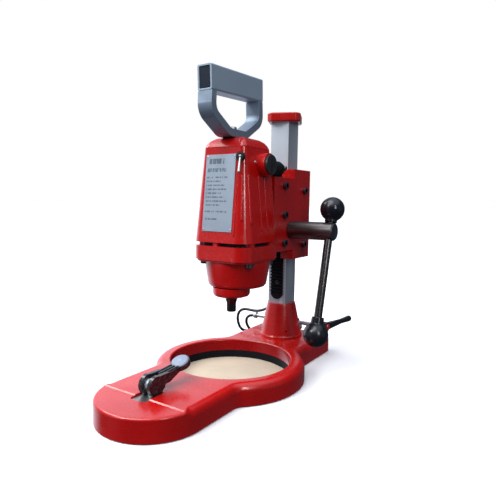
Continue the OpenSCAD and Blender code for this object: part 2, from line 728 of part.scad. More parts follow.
// Turn of a gear on the idler axis so that a gap faces a tooth of the unturned gear at p
function bearing_to(p, q) = atan2(q.y - p.y, q.x - p.x);
function mesh_turn(p, z_there, z_here) =
    let (there = bearing_to(p, [idler_x, idler_y]), here = bearing_to([idler_x, idler_y], p))
    here + 180 / z_here + (there * z_there % 360) / z_here;
spindle_turn = bearing_to([0, 0], [idler_x, idler_y]) + 180 / z_spindle
    + (bearing_to([idler_x, idler_y], [0, 0]) * z_small % 360) / z_spindle;

module spindle_gear() color("dimgray") translate([0, 0, gear_z + 8.5]) difference() {
    linear_extrude(10) rotate(spindle_turn) gear_outline(m1, z_spindle, 0.7, 1.1, 0.36);
    translate([0, 0, -1]) cylinder(h = 12, r = 10);
}

module spindle() color(dark) {
    translate([0, 0, nose_z - 1]) cylinder(h = gear_z + 20 - nose_z, r = 10);
    translate([0, 0, 128.5]) cylinder(h = nose_z - 129.4, r1 = spindle_d / 2, r2 = 11.8);
    translate([0, 0, 115]) cylinder(h = 14, r = spindle_d / 2);
    translate([0, 0, 114]) cylinder(h = 1.1, r1 = spindle_d / 2 - 1, r2 = spindle_d / 2);
}

// Rating plate on the sloping front facet, blank
module label_plate() color("lightgray")
    translate([-2, motor_y - motor_flat - r_low + taper * (311.5 - motor_z) - 0.45, 311.5])
        rotate([-atan(taper), 0, 0]) cube([58, 0.7, 123], center = true);

module at_switch() {
    translate([motor_flat, motor_y - motor_flat, switch_z]) rotate([90, 0, 22])
        translate([0, 0, r_low - taper * (switch_z - motor_z)]) children();
}

module switch_body() color(dark) at_switch() difference() {
    union() {
        translate([0, 0, -8]) cylinder(h = 9, r = 4.9);
        translate([0, 0, 0.7]) cylinder(h = 2.3, r = 7.5);
        translate([0, 0, 3]) cylinder(h = 4, r1 = 6.5, r2 = 5);
    }
    translate([0, 0, 5]) rotate([bat_tilt, 0, 0]) cylinder(h = 20, r = 2.7);
    translate([0, 0, 5]) rotate([bat_tilt / 2, 0, 0]) cylinder(h = 20, r = 2.7);
    translate([0, 0, 5]) cylinder(h = 20, r = 2.7);
    translate([0, 0, 5]) sphere(3.4);
}

module switch_toggle() color(steel) at_switch() translate([0, 0, 5]) {
    sphere(3.1);
    rotate([0, 90, 0]) cylinder(h = 6.5, r = 1, center = true);
    rotate([bat_tilt, 0, 0]) cylinder(h = bat_l, r1 = 1.8, r2 = 2.6);
    rotate([bat_tilt, 0, 0]) translate([0, 0, bat_l]) sphere(2.6);
}

// ---------- handle ----------

// Side view of the grip's underside: (Y, Z) with the origin at its front lower corner
module at_grip() {
    translate([-grip_l / 2, grip_z]) rotate(grip_tilt) children();
}

module strap_outline(t) {
    hull() {
        for (s = [-1, 1]) {
            translate([s * 16, motor_top + 27.1]) circle(27 - t);
            translate([s * 44, motor_top + 45]) circle(28 - t);
        }
        at_grip() translate([0.8 + t, -2]) square([grip_l - 1.6 - 2 * t, 6]);
    }
}

module handle_strap() color(steel) translate([0, handle_y, 0]) difference() {
    rotate([90, 0, 90]) linear_extrude(grip_w, center = true, convexity = 6) difference() {
        strap_outline(0);
        strap_outline(strap_t);
        at_grip() translate([-50, -0.05]) square([260, 60]);
    }
    translate([0, 0, 390]) cylinder(h = 30, r = 4.1);
}

// Places a part of the grip: local Z runs along it, local Y is up
module in_grip(along) {
    translate([0, handle_y - grip_l / 2, grip_z]) rotate([grip_tilt, 0, 0])
        translate([0, along, grip_h / 2]) rotate([90, 0, 0]) children();
}

module handle_grip() color(steel) in_grip(grip_l / 2) linear_extrude(grip_l, center = true) difference() {
    rounded_rect(grip_w / 2, grip_h / 2, 3);
    rounded_rect(grip_w / 2 - 3, grip_h / 2 - 3, 1.5);
}

module grip_end_caps() color(dark) for (s = [-1, 1])
    in_grip(grip_l / 2 + s * (grip_l / 2 - 6)) linear_extrude(10, center = true)
        rounded_rect(grip_w / 2 - 3.1, grip_h / 2 - 3.1, 1.4);

// ---------- cord ----------

module cord_gland() color(dark) translate([36, 0, gland_z]) rotate([-90, 0, 0]) difference() {
    rotate_extrude() polygon([[0, 50], [5.9, 50], [5.9, 59.5], [12.4, 59.5], [13.2, 61.5], [13.2, 84], [11.5, 90],
        [8, 96], [5, 101], [0, 101]]);
    cylinder(h = 102, r = cord_d / 2);
}

module motor_lead() color(dark) {
    tube(lead_route, cord_d);
}

module power_cord() color(dark) {
    tube(cord_route, cord_d);
}

module cord_coil() color(dark) translate([coil_c.x, coil_c.y, 0])
    rotate_extrude() translate([coil_in, 0]) polygon([[4, 0], [14, 0], [18, 4], [18, 14], [14, 18], [4, 18],
        [0, 14], [0, 4]]);

module plug_lead() color(dark) {
    tube(plug_route, cord_d);
}

module power_plug() color(dark) {
    xcyl(4, plug_x0 - 2, plug_x0 + 10, plug_y, plug_z, 8);
    hull() {
        translate([plug_x0 + 12, plug_y, plug_z]) cube([8, 16, 17], center = true);
        translate([plug_x0 + 30, plug_y, plug_z]) cube([14, 20, 26], center = true);
    }
    for (s = [-1, 1]) xcyl(2.4, plug_x0 + 36, plug_x0 + 56, plug_y, plug_z + s * 9);
}

base_casting();
base_seal_ring();
column_socket();
socket_bolts();
column_tube();
column_cap();
rack();
rack_screws();
clamp_rod();
lock_lever();
lock_lever_cap();
slot_plate();
clamp_stud();
stud_nut();
cam_pivot_pin();
cam_lever();
cam_lever_cap();
carriage_casting();
gib_strips();
gib_screws();
side_screws();
motor_bracket();
pinion_bushes();
pinion();
feed_hub();
lever_rod();
upper_knob();
lower_knob();
motor_housing();
top_cover();
lower_housing();
gear_housing();
nose_collar();
gear_plate();
housing_screws();
label_plate();
brush_caps();
carbon_brushes();
stator();
motor_bearings();
spindle_bearings();
spindle_seal();
armature();
commutator();
fan();
idler_pin();
idler_gear();
spindle_gear();
spindle();
switch_body();
switch_toggle();
handle_strap();
handle_grip();
grip_end_caps();
cord_gland();
motor_lead();
power_cord();
cord_coil();
plug_lead();
power_plug();
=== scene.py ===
"""Drill press with a clamping base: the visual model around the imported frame."""
import json
import math

import bmesh
import bpy
from mathutils import Matrix, Vector
from mathutils.geometry import tessellate_polygon

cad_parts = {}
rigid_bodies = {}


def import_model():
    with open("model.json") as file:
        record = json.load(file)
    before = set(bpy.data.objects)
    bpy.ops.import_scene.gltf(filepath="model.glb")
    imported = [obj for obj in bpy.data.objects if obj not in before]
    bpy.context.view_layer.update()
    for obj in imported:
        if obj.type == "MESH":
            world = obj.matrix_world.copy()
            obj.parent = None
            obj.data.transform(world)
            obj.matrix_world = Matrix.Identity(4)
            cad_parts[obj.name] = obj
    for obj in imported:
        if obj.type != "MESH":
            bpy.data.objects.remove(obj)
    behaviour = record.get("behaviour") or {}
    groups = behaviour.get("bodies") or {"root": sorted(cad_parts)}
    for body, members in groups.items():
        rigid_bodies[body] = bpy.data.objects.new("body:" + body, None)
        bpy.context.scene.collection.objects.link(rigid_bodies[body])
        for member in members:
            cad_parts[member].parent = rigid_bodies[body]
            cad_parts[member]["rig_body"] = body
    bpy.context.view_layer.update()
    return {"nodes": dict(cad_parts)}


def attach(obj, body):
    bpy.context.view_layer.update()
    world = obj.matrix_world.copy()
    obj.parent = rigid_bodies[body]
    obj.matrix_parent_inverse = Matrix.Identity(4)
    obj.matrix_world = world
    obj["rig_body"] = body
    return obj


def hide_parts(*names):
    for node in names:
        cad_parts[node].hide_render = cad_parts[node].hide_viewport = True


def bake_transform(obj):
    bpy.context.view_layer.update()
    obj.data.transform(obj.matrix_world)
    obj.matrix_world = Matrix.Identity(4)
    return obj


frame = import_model()
nodes = frame["nodes"]
scene = bpy.context.scene
MM = 0.001
QUARTER = math.radians(90)
TURN = 2 * math.pi


# ---------- camera ----------

FORWARD = Vector((-0.54791684, 0.8306862, -0.09872979))
RIGHT = Vector((0.83399897, 0.55161844, 0.01275954))
EYE = Vector((0.454345, -0.639946, 0.299242))
SENSOR, LENS = 36, 34.28


def make_camera():
    """A camera at the photograph's viewing angle."""
    up = RIGHT.cross(FORWARD)
    data = bpy.data.cameras.new("camera")
    data.sensor_width = SENSOR
    data.lens = LENS
    camera = bpy.data.objects.new("camera", data)
    scene.collection.objects.link(camera)
    rows = [(RIGHT[i], up[i], -FORWARD[i], EYE[i]) for i in range(3)]
    camera.matrix_world = Matrix(rows + [(0, 0, 0, 1)])
    scene.camera = camera


make_camera()


# ---------- materials ----------

class Nodes:
    """A short way to build one material's node tree."""

    def __init__(self, name):
        self.mat = bpy.data.materials.new(name)
        self.mat.use_nodes = True
        self.tree = self.mat.node_tree
        self.shader = self.tree.nodes["Principled BSDF"]
        self.coords = self.new("ShaderNodeTexCoord").outputs["Object"]

    def new(self, kind, **settings):
        node = self.tree.nodes.new(kind)
        for key, value in settings.items():
            setattr(node, key, value)
        return node

    def link(self, a, b):
        self.tree.links.new(a, b)

    def scaled(self, scale):
        node = self.new("ShaderNodeMapping")
        node.inputs["Scale"].default_value = scale
        self.link(self.coords, node.inputs["Vector"])
        return node.outputs["Vector"]

    def noise(self, scale, detail=3, rough=0.55, stretch=None):
        node = self.new("ShaderNodeTexNoise")
        node.inputs["Scale"].default_value = scale
        node.inputs["Detail"].default_value = detail
        node.inputs["Roughness"].default_value = rough
        self.link(self.scaled(stretch) if stretch else self.coords, node.inputs["Vector"])
        return node.outputs["Fac"]

    def remap(self, value, a, b, low=0.0, high=1.0):
        node = self.new("ShaderNodeMapRange")
        self.link(value, node.inputs["Value"])
        for key, number in (("From Min", a), ("From Max", b), ("To Min", low), ("To Max", high)):
            node.inputs[key].default_value = number
        return node.outputs["Result"]

    def math(self, kind, a, b=None):
        node = self.new("ShaderNodeMath", operation=kind)
        for socket, value in zip(node.inputs, (a, b)):
            if value is None:
                continue
            if isinstance(value, (int, float)):
                socket.default_value = value
            else:
                self.link(value, socket)
        return node.outputs[0]

    def mix(self, fac, a, b):
        node = self.new("ShaderNodeMix", data_type="RGBA")
        self.link(fac, node.inputs[0])
        for socket, value in ((node.inputs[6], a), (node.inputs[7], b)):
            if isinstance(value, tuple):
                socket.default_value = value if len(value) == 4 else value + (1,)
            else:
                self.link(value, socket)
        return node.outputs[2]

    def bump(self, height, strength, distance):
        node = self.new("ShaderNodeBump")
        node.inputs["Strength"].default_value = strength
        node.inputs["Distance"].default_value = distance
        self.link(height, node.inputs["Height"])
        self.link(node.outputs[0], self.shader.inputs["Normal"])

    def edges(self, low=0.52, high=0.6):
        """How far a spot lies on an outer edge, from the mesh's own curvature."""
        geometry = self.new("ShaderNodeNewGeometry")
        return self.remap(geometry.outputs["Pointiness"], low, high)

    def up(self):
        """1 on faces that look straight up."""
        split = self.new("ShaderNodeSeparateXYZ")
        self.link(self.new("ShaderNodeNewGeometry").outputs["Normal"], split.inputs[0])
        return split.outputs[2]

    def surface(self, colour, roughness, **fixed):
        self.link(colour, self.shader.inputs["Base Color"])
        self.link(roughness, self.shader.inputs["Roughness"])
        for key, value in fixed.items():
            self.shader.inputs[key.replace("_", " ")].default_value = value
        return self.mat


def enamel(name, colour, dark, worn, rough=0.2, coat=0.6, peel=0.00006, grain=0.0, edge=0.25):
    """Gloss enamel: uneven tone, orange peel, dust specks and a little wear on the edges."""
    n = Nodes(name)
    tone = n.mix(n.remap(n.noise(14, 4), 0.35, 0.7), colour, dark)
    chips = n.math("MULTIPLY", n.edges(), n.remap(n.noise(320, 5, 0.7), 0.5, 0.66))
    tone = n.mix(n.math("MULTIPLY", chips, edge), tone, worn)
    specks = n.remap(n.noise(1500, 2, 0.6), 0.72, 0.8, 0, 0.3)
    tone = n.mix(n.math("MULTIPLY", specks, n.up()), tone, (0.75, 0.6, 0.56))
    roughness = n.remap(n.noise(42, 5, 0.65), 0.3, 0.75, rough * 0.7, rough * 1.5)
    height = n.math("ADD", n.noise(900, 2, 0.5), n.math("MULTIPLY", n.noise(95, 3), grain))
    n.bump(height, 0.35, peel)
    return n.surface(tone, roughness, Coat_Weight=coat, Coat_Roughness=0.1, Specular_IOR_Level=0.5)


def brushed(name, colour, dark, stretch, rough=0.3, metal=1.0, lines=0.00004, blotch=0.4):
    """Ground or brushed metal: fine drawn lines, tone blotches, light handling marks."""
    n = Nodes(name)
    drawn = n.noise(1, 6, 0.7, stretch)
    tone = n.mix(n.remap(n.noise(22, 4), 0.35, 0.75, 0, blotch), colour, dark)
    tone = n.mix(n.remap(drawn, 0.35, 0.7, 0, 0.35), tone, dark)
    bright = tuple(min(1, v * 1.5 + 0.05) for v in colour[:3])
    tone = n.mix(n.math("MULTIPLY", n.edges(0.53, 0.6), 0.6), tone, bright)
    roughness = n.math("ADD", n.remap(drawn, 0.3, 0.7, rough * 0.75, rough * 1.25),
                       n.remap(n.noise(60, 5, 0.7), 0.55, 0.8, 0, 0.12))
    n.bump(drawn, 0.4, lines)
    return n.surface(tone, roughness, Metallic=metal)


def moulded(name, colour, light, rough=0.4, grain=0.00008, scale=1400, coat=0.0, spec=0.35):
    """Moulded rubber or plastic: fine grain and scuffs on the edges."""
    n = Nodes(name)
    tone = n.mix(n.remap(n.noise(35, 4), 0.35, 0.75, 0, 0.6), colour, light)
    tone = n.mix(n.math("MULTIPLY", n.edges(), 0.35), tone, light)
    roughness = n.remap(n.noise(120, 5, 0.7), 0.3, 0.75, rough * 0.75, min(1, rough * 1.4))
    n.bump(n.noise(scale, 3, 0.6), 0.5, grain)
    return n.surface(tone, roughness, Coat_Weight=coat, Coat_Roughness=0.08, Specular_IOR_Level=spec)


RED = (0.50, 0.0034, 0.0022)
RED_DARK = (0.41, 0.0024, 0.0015)
red_iron = enamel("red_enamel_on_iron", RED, RED_DARK, (0.6, 0.12, 0.09), 0.27, 0.3, 0.00007, 0.6)
red_alloy = enamel("red_enamel_on_alloy", (0.52, 0.0038, 0.0024), (0.43, 0.0027, 0.0018),
                   (0.62, 0.15, 0.12), 0.22, 0.25)
red_plastic = enamel("red_plastic_cap", (0.6, 0.02, 0.015), (0.5, 0.012, 0.01), (0.7, 0.2, 0.17), 0.25,
                     0.3)
black_enamel = enamel("black_enamel", (0.012, 0.013, 0.016), (0.006, 0.006, 0.008), (0.16, 0.17, 0.19),
                      0.28, 0.1, 0.00012, 1.0, 0.4)
phenolic = enamel("black_phenolic", (0.006, 0.007, 0.011), (0.010, 0.011, 0.016), (0.05, 0.055, 0.065),
                  0.22, 0.0, 0.00003)
ground_steel = brushed("ground_steel", (0.50, 0.56, 0.60), (0.36, 0.41, 0.46), (260, 260, 3), 0.36,
                       0.65, 0.00001, 0.3)
bright_alloy = brushed("brushed_aluminium", (0.38, 0.48, 0.58), (0.31, 0.40, 0.49), (300, 4, 4), 0.45,
                       0.35, 0.00001, 0.3)
strap_alloy = brushed("strap_aluminium", (0.25, 0.32, 0.40), (0.18, 0.24, 0.31), (4, 300, 300), 0.42,
                      0.5, 0.00001, 0.3)
cap_alloy = brushed("satin_cap", (0.22, 0.27, 0.35), (0.17, 0.21, 0.28), (200, 200, 200), 0.5, 0.2,
                    0.00001, 0.3)
bright_steel = brushed("bright_steel", (0.46, 0.50, 0.55), (0.3, 0.34, 0.38), (8, 200, 200), 0.33)
zinc = brushed("zinc_plate", (0.5, 0.5, 0.49), (0.3, 0.3, 0.28), (500, 500, 500), 0.35, blotch=0.8)
gunmetal = brushed("oil_black_steel", (0.085, 0.078, 0.074), (0.035, 0.032, 0.033), (700, 700, 30),
                   0.28)
hub_metal = brushed("turned_gunmetal", (0.15, 0.14, 0.14), (0.07, 0.065, 0.068), (6, 200, 200), 0.36)
gear_steel = brushed("oiled_gear_steel", (0.09, 0.09, 0.1), (0.03, 0.03, 0.035), (400, 400, 400), 0.38)
rack_black = moulded("oiled_black_rack", (0.006, 0.006, 0.008), (0.011, 0.011, 0.013), 0.5, spec=0.12)
grey_alloy = brushed("cast_grey_alloy", (0.4, 0.4, 0.42), (0.25, 0.25, 0.27), (300, 300, 300), 0.5, 0.9,
                     0.0001)
bronze = brushed("bronze", (0.5, 0.33, 0.15), (0.3, 0.19, 0.08), (40, 500, 500), 0.34)
copper = brushed("copper", (0.6, 0.28, 0.16), (0.4, 0.17, 0.09), (500, 500, 60), 0.3)
laminated = brushed("laminated_steel", (0.25, 0.26, 0.28), (0.1, 0.1, 0.12), (20, 20, 2200), 0.45, 0.9,
                    0.0001)
rubber = moulded("black_rubber", (0.007, 0.007, 0.009), (0.018, 0.018, 0.02), 0.6, spec=0.15)
plastic = moulded("black_plastic", (0.014, 0.015, 0.017), (0.05, 0.05, 0.055), 0.32, 0.00005, 1800, 0.2)
# dark plastic of the grip's end plugs; the same material is also the painted shade sheet behind the air slots
end_plug_and_slot_shade = moulded("dark_end_plug_and_painted_slot_shade", (0.012, 0.019, 0.032), (0.025, 0.036, 0.054), 0.45, 0.00005, 1800,
                    spec=0.15)
cord_sheath = moulded("cord_sheath", (0.012, 0.012, 0.014), (0.04, 0.04, 0.045), 0.42, 0.00006, 900,
                      0.1)
carbon = moulded("carbon", (0.03, 0.03, 0.032), (0.09, 0.09, 0.09), 0.55)


def label_material():
    """Satin blue-grey plate with rows of plain dark bars, and no lettering."""
    n = Nodes("label_face")
    split = n.new("ShaderNodeSeparateXYZ")
    n.link(n.coords, split.inputs[0])
    x, z = split.outputs[0], split.outputs[2]
    base = n.mix(n.remap(n.noise(30, 4), 0.35, 0.7), (0.40, 0.48, 0.56), (0.33, 0.40, 0.48))
    bars = None
    # each row of bars: height, half its thickness, left end, right end
    rows = [(0.3620, 0.0042, -0.025, 0.005), (0.3480, 0.0030, -0.028, 0.010)]
    rows += [(0.3364 - 0.0063 * k, 0.0012, -0.028, 0.014 - 0.006 * ((k * 5) % 3)) for k in range(8)]
    rows += [(0.2820, 0.0013, -0.028, 0.015), (0.2700, 0.0014, -0.026, -0.002)]
    for height, half, left, right in rows:
        dz = n.math("ABSOLUTE", n.math("SUBTRACT", z, height))
        dx = n.math("ABSOLUTE", n.math("SUBTRACT", x, (left + right) / 2))
        inside = n.math("LESS_THAN", dz, half)
        bar = n.math("MULTIPLY", inside, n.math("LESS_THAN", dx, (right - left) / 2))
        bars = bar if bars is None else n.math("MAXIMUM", bars, bar)
    gaps = n.remap(n.noise(1, 2, 0.5, (420, 1, 40)), 0.42, 0.52)
    ink = n.mix(n.math("MULTIPLY", n.math("MULTIPLY", bars, gaps), 0.75), base, (0.06, 0.085, 0.11))
    roughness = n.remap(n.noise(300, 3), 0.3, 0.7, 0.3, 0.45)
    n.bump(n.noise(1100, 2), 0.2, 0.00003)
    return n.surface(ink, roughness, Metallic=0.35, Coat_Weight=0.2, Coat_Roughness=0.2)


label_face = label_material()


# ---------- mesh helpers ----------

WELD = 0.00002  # corners of the CAD mesh closer than this are one
FLAT_ANGLE = 0.6  # facets that turn less than this, in degrees, are one face
EDGE_ANGLE = 32  # edges sharper than this, in degrees, get a rounded strip
BEVEL_STEPS = 3
BEVEL_MOST = 1.0  # wider than any edge has room for: the overlap clamp sets each strip's real width


def add(name, mesh, material, body, stands_for=(), angle=35):
    """Links a piece, shades it smooth up to an angle, and lets it ride on a body."""
    mesh.materials.clear()
    mesh.materials.append(material)
    mesh.shade_smooth()
    mesh.set_sharp_from_angle(angle=math.radians(angle))
    piece = bpy.data.objects.new(name, mesh)
    scene.collection.objects.link(piece)
    if body:
        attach(piece, body)
    if stands_for:
        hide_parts(*stands_for)
    return piece


def weighted(piece):
    """Lets large flat faces keep their own shading."""
    piece.modifiers.new("flat_faces_win", "WEIGHTED_NORMAL").keep_sharp = True
    return piece


def bevel(piece):
    """Rounds the sharp edges of a piece as far as its shortest neighbouring edge leaves room."""
    cut = piece.modifiers.new("rounded_edges", "BEVEL")
    cut.width = BEVEL_MOST
    cut.segments = BEVEL_STEPS
    cut.limit_method = "ANGLE"
    cut.angle_limit = math.radians(EDGE_ANGLE)
    cut.miter_outer = "MITER_ARC"
    cut.use_clamp_overlap = True
    return weighted(piece)


def final_mesh(piece):
    """The mesh of an object with its modifiers applied."""
    graph = bpy.context.evaluated_depsgraph_get()
    return bpy.data.meshes.new_from_object(piece.evaluated_get(graph))


def softened(node, material):
    """Stands for a CAD node: the same solid, with true rounded edges where the casting has them."""
    bm = bmesh.new()
    bm.from_mesh(nodes[node].data)
    bmesh.ops.remove_doubles(bm, verts=bm.verts, dist=WELD)
    bmesh.ops.dissolve_limit(bm, angle_limit=math.radians(FLAT_ANGLE), verts=bm.verts, edges=bm.edges)
    mesh = bpy.data.meshes.new(node + "_finished")
    bm.to_mesh(mesh)
    bm.free()
    piece = add(mesh.name, mesh, material, nodes[node]["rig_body"], (node,), EDGE_ANGLE)
    return bevel(piece)


def circle(steps):
    """The angles of a full turn in equal steps."""
    return [TURN * i / steps for i in range(steps)]


def shell(rings, caps=True):
    """Faces between closed rings of points with the same count."""
    bm = bmesh.new()
    made = [[bm.verts.new(p) for p in ring] for ring in rings]
    count = len(rings[0])
    for low, high in zip(made, made[1:]):
        for i in range(count):
            j = (i + 1) % count
            bm.faces.new((low[i], low[j], high[j], high[i]))
    if caps:
        bm.faces.new(list(reversed(made[0])))
        bm.faces.new(made[-1])
    bmesh.ops.recalc_face_normals(bm, faces=bm.faces)
    mesh = bpy.data.meshes.new("shell")
    bm.to_mesh(mesh)
    bm.free()
    return mesh


def lathe(profile, place, steps=64):
    """A turned solid: profile is (radius, height), height runs along the place's Z."""
    rings = []
    for radius, height in profile:
        rings.append([place @ Vector((radius * math.cos(t), radius * math.sin(t), height)) for t in circle(steps)])
    return shell(rings)


def arc(cx, cy, radius, start, end, steps):
    """Points of a quarter round or any other arc, as (x, y)."""
    out = []
    for i in range(steps + 1):
        t = math.radians(start + (end - start) * i / steps)
        out.append((cx + radius * math.cos(t), cy + radius * math.sin(t)))
    return out


def spline(points, steps):
    """Catmull-Rom through every point."""
    out = []
    last = len(points) - 1
    for i in range(last):
        a, b, c, d = (Vector(points[max(0, min(last, i + k))]) for k in (-1, 0, 1, 2))
        for j in range(steps):
            u = j / steps
            out.append(0.5 * (2 * b + (c - a) * u + (2 * a - 5 * b + 4 * c - d) * u * u
                              + (3 * b - a - 3 * c + d) * u ** 3))
    return out + [Vector(points[-1])]


def tube_mesh(path, size, sides):
    """A round tube along a path."""
    rings = []
    side = None
    for i, point in enumerate(path):
        along = (path[min(i + 1, len(path) - 1)] - path[max(i - 1, 0)]).normalized()
        if side is None:
            side = along.cross(Vector((0, 0, 1)) if abs(along.z) < 0.9 else Vector((0, 1, 0)))
        side = (side - side.dot(along) * along).normalized()
        other = along.cross(side)
        rings.append([point + size * (math.cos(t) * side + math.sin(t) * other) for t in circle(sides)])
    return shell(rings)


def smoothstep(a, b, v):
    """0 up to a, 1 from b on, and a smooth rise between them."""
    u = min(1.0, max(0.0, (v - a) / (b - a)))
    return u * u * (3 - 2 * u)


def at(x, y, z, tilt_x=0.0, turn_z=0.0, tilt_y=0.0):
    """A place in millimetres, turned by degrees about Z, then Y, then X."""
    place = Matrix.Translation((x * MM, y * MM, z * MM))
    for degrees, axis in ((turn_z, "Z"), (tilt_y, "Y"), (tilt_x, "X")):
        place = place @ Matrix.Rotation(math.radians(degrees), 4, axis)
    return place


def mm(points):
    """Points in millimetres, as metres."""
    return [tuple(v * MM for v in p) for p in points]


# ---------- power cord ----------

CORD_R = 3.0
CORD_SIDES = 14
COIL = (-60.0, 280.0)
COIL_IN, COIL_OUT = 24.0, 39.0
COIL_FIRST_Z, LAYER_STEP = 3.3, 5.95
LAYERS, LAYER_POINTS, TURN_POINTS = 4, 50, 20
# where the cord meets the coil and leaves it, in degrees, and how it comes down beside it
COIL_START, COIL_LEAVE = 172.0, 258.0
DROP_POINTS, DROP_TOP, DROP_HEIGHT, DROP_OUT = 15, 21.15, 17.85, 6.0
DOWN_ROUTE = [
    (-30, 208, 362.6), (-30, 216, 361.5), (-30, 226, 356), (-30, 233, 346), (-30, 236, 330),
    (-30, 236, 300), (-30, 236, 250), (-30, 236, 200), (-31, 236, 150), (-33, 234, 120), (-40, 228, 96),
    (-51, 219, 78), (-65, 210, 68), (-80, 205, 64.5), (-96, 204, 64.8), (-109, 205, 64.3),
    (-121, 207, 59.6), (-130, 210, 49.5), (-134, 214, 36.5), (-134.9, 219.5, 24), (-134.6, 227, 13.5),
    (-132.5, 237, 6.2), (-128, 248.5, 3.4), (-120, 260, 3.3), (-110, 271, 3.3)]
PLUG_ROUTE = [
    (-85, 238.6, 3.3), (-98, 240.9, 3.3), (-110.1, 239.8, 6.3), (-119, 236.6, 14.5), (-122.2, 232.2, 25.8),
    (-119, 227.8, 37), (-110, 224.6, 45.2), (-98, 223.5, 48.3), (-85, 223.6, 48.5), (-72, 224, 48.5),
    (-60, 224, 48.5)]


def coil_points():
    """Ten turns in four layers, each turn a cord's width from the next, then down beside them."""
    out = []
    angle = COIL_START
    for layer in range(LAYERS):
        first, last = (COIL_OUT, COIL_IN) if layer % 2 == 0 else (COIL_IN, COIL_OUT)
        for i in range(LAYER_POINTS):
            radius = first + (last - first) * i / (LAYER_POINTS - 1)
            out.append((angle, radius, COIL_FIRST_Z + LAYER_STEP * layer))
            angle -= 360.0 / TURN_POINTS
    turn = (angle - COIL_LEAVE) % 360.0 / DROP_POINTS
    for i in range(DROP_POINTS):
        radius = COIL_OUT + DROP_OUT * smoothstep(4.5, 8.5, i)
        out.append((angle, radius, DROP_TOP - DROP_HEIGHT * smoothstep(7.5, 13.5, i)))
        angle -= turn
    points = []
    for k, (a, radius, _) in enumerate(out):
        # a change of layer is eased over a few points
        near = out[max(0, k - 2):k + 3]
        z = sum(p[2] for p in near) / len(near)
        t = math.radians(a)
        points.append((COIL[0] + radius * math.cos(t), COIL[1] + radius * math.sin(t), z))
    return points


def make_cord():
    """The free cord from the carriage to its plug."""
    route = mm(DOWN_ROUTE + coil_points() + PLUG_ROUTE)
    path = spline(route, 3)
    tube = tube_mesh(path, CORD_R * MM, CORD_SIDES)
    piece = add("power_cord_lead", tube, cord_sheath, None, (), 80)
    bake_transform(piece)
    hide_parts("power_cord", "cord_coil", "plug_lead")
    plug = make_plug()
    tie = make_tie()


def rounded_box_ring(hx, hy, r, steps=5):
    """A rounded rectangle in (a, b), anticlockwise."""
    out = []
    ax, ay = hx - r, hy - r
    for cx, cy, start in ((ax, ay, 0), (-ax, ay, 90), (-ax, -ay, 180), (ax, -ay, 270)):
        out += arc(cx, cy, r, start, start + 90, steps)
    return out


PLUG = (-60, 224, 48.5)
# along the plug's body: distance, half width, half height, corner radius
PLUG_BODY = [(10.5, 7.4, 8.2, 5), (14, 8.4, 9.6, 5), (20, 9.2, 11.2, 5), (27, 9.9, 12.8, 4.5),
             (35, 9.9, 12.9, 4.5), (36.6, 9.2, 12.2, 4), (37, 7.8, 10.8, 3.5)]
PIN_PROFILE = [(2.3, 0), (2.3, 17.5), (1.9, 19), (0.9, 19.8)]


def make_plug():
    """A plain moulded plug: strain relief with ribs, shaped body, two round pins."""
    x0, y, z = PLUG
    rings = []
    for i in range(13):
        r = 4.2 + 0.25 * i + (0.7 if i % 2 else 0)
        rings.append([(x0 - 2 + i, y + r * math.cos(t), z + r * math.sin(t)) for t in circle(24)])
    for x, hy, hz, r in PLUG_BODY:
        rings.append([(x0 + x, y + a, z + b) for a, b in rounded_box_ring(hy, hz, r)])
    body = shell([mm(r) for r in rings])
    piece = add("mains_plug", body, plastic, "stand", ("power_plug",), 50)
    for side in (-1, 1):
        place = at(x0 + 36, y, z + 9 * side) @ Matrix.Rotation(QUARTER, 4, "Y")
        pin = add("plug_pin_%s" % ("a" if side < 0 else "b"), lathe(mm(PIN_PROFILE), place, 24),
                  bright_steel, "stand", (), 50)
        pin.parent = piece
        pin.matrix_parent_inverse = Matrix.Identity(4)
    return piece


TIE_RADIUS, TIE_MIDDLE, TIE_ANGLE = 33, 10.3, 20


def make_tie():
    """A plain flat tie on the coil; it holds the lower three of the four layers."""
    turn = math.radians(TIE_ANGLE)
    radial = Vector((math.cos(turn), math.sin(turn), 0))
    across = Vector((-math.sin(turn), math.cos(turn), 0))
    centre = Vector((COIL[0], COIL[1], 0)) * MM
    middle = Vector((0, 0, TIE_MIDDLE * MM))
    rings = []
    for a, b in rounded_box_ring(10.2, 10.0, 4, 6):
        p = centre + radial * (TIE_RADIUS + a) * MM + Vector((0, 0, (TIE_MIDDLE + b) * MM))
        out = (p - centre - radial * TIE_RADIUS * MM - middle).normalized()
        section = ((-2, -0.3), (2, -0.3), (2, 0.4), (-2, 0.4))
        rings.append([p + across * u * MM + out * v * MM for u, v in section])
    mesh = shell(rings + [rings[0]], caps=False)
    return add("coil_tie", mesh, plastic, "stand", (), 30)


make_cord()


# ---------- base ----------

BASE_H = 35.0
STEP_DROP = 1.2
STEP_SLOPE = 2.2
STEP_Y = -207.7
RING_R, HOLE_R, SEAL_R, SEAL_H = 125.5, 101.5, 109.0, 14.0
STRIP, FRONT_Y, REAR_Y = 81.0, -264.0, 232.0
JOIN_R, CORNER_R = 20.0, 10.0
FOOT_CHAMFER, RIM_R, RIM_EXTRA, REAR_LESS = 1.6, 3.6, 8.4, 2.8
HOLE_RIM_R, HOLE_STEPS, FILLET_STEPS = 3, 128, 7
BASE_ANGLE = 24  # the step's riser turns 29 degrees and has to stay crisp


